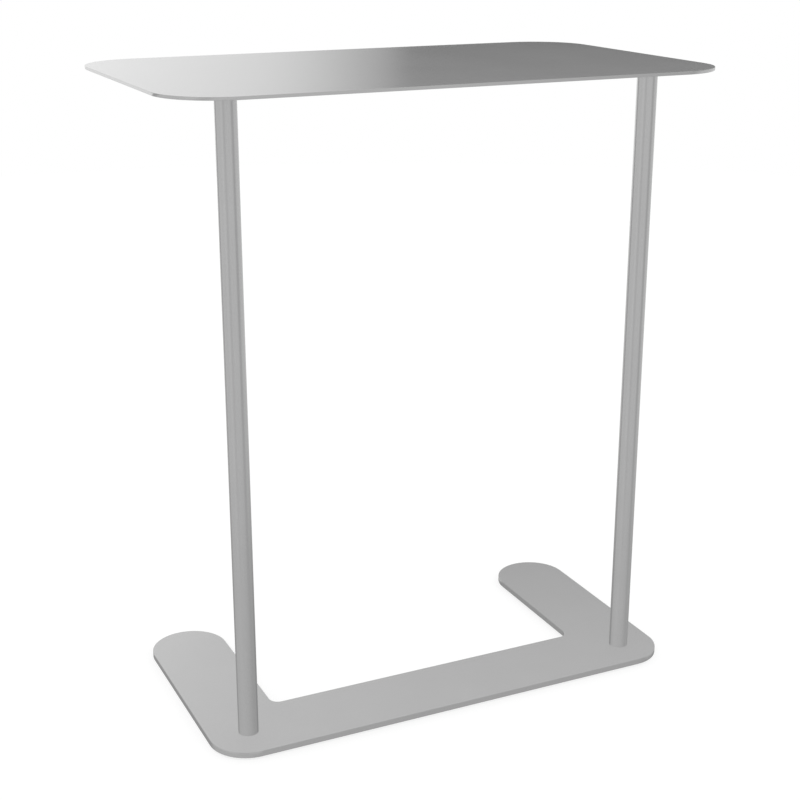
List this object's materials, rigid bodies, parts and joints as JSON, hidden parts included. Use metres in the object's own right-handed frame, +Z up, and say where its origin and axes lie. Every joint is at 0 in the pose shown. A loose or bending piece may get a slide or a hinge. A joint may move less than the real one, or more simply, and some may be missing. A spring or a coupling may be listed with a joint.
{
  "type": "writing desk",
  "caption": "Small free-standing metal desk: thin round-cornered top on slim round columns near its front edge, over a flat U-shaped base plate whose arms run back under the top.",
  "frame": {"origin": "on the floor under the middle of the top, which is the bottom centre of the whole desk", "axes": "+Z up, +X to the right along the width of the top, -Y the side where the columns stand, +Y the open side of the base"},
  "size_m": [0.56, 0.34, 0.632],
  "materials": {
    "coated_plate": "satin silver-grey powder coat",
    "coated_tube": "satin silver-grey powder coat",
    "bare_steel": "turned steel",
    "zinc_fastener": "bright zinc plated",
    "pad_rubber": "matt"
  },
  "bodies": {
    "root": {"table_top": "coated_plate", "base_plate": "coated_plate", "left_column_tube": "coated_tube", "right_column_tube": "coated_tube", "left_head_plate": "coated_tube", "right_head_plate": "coated_tube", "left_threaded_plug": "bare_steel", "right_threaded_plug": "bare_steel", "left_foot_screw": "zinc_fastener", "right_foot_screw": "zinc_fastener", "left_front_weld_stud": "zinc_fastener", "left_middle_weld_stud": "zinc_fastener", "left_rear_weld_stud": "zinc_fastener", "right_front_weld_stud": "zinc_fastener", "right_middle_weld_stud": "zinc_fastener", "right_rear_weld_stud": "zinc_fastener", "left_front_flange_nut": "zinc_fastener", "left_middle_flange_nut": "zinc_fastener", "left_rear_flange_nut": "zinc_fastener", "right_front_flange_nut": "zinc_fastener", "right_middle_flange_nut": "zinc_fastener", "right_rear_flange_nut": "zinc_fastener", "left_front_foot_pad": "pad_rubber", "left_middle_foot_pad": "pad_rubber", "left_rear_foot_pad": "pad_rubber", "right_front_foot_pad": "pad_rubber", "right_middle_foot_pad": "pad_rubber", "right_rear_foot_pad": "pad_rubber"}
  },
  "joints": []
}
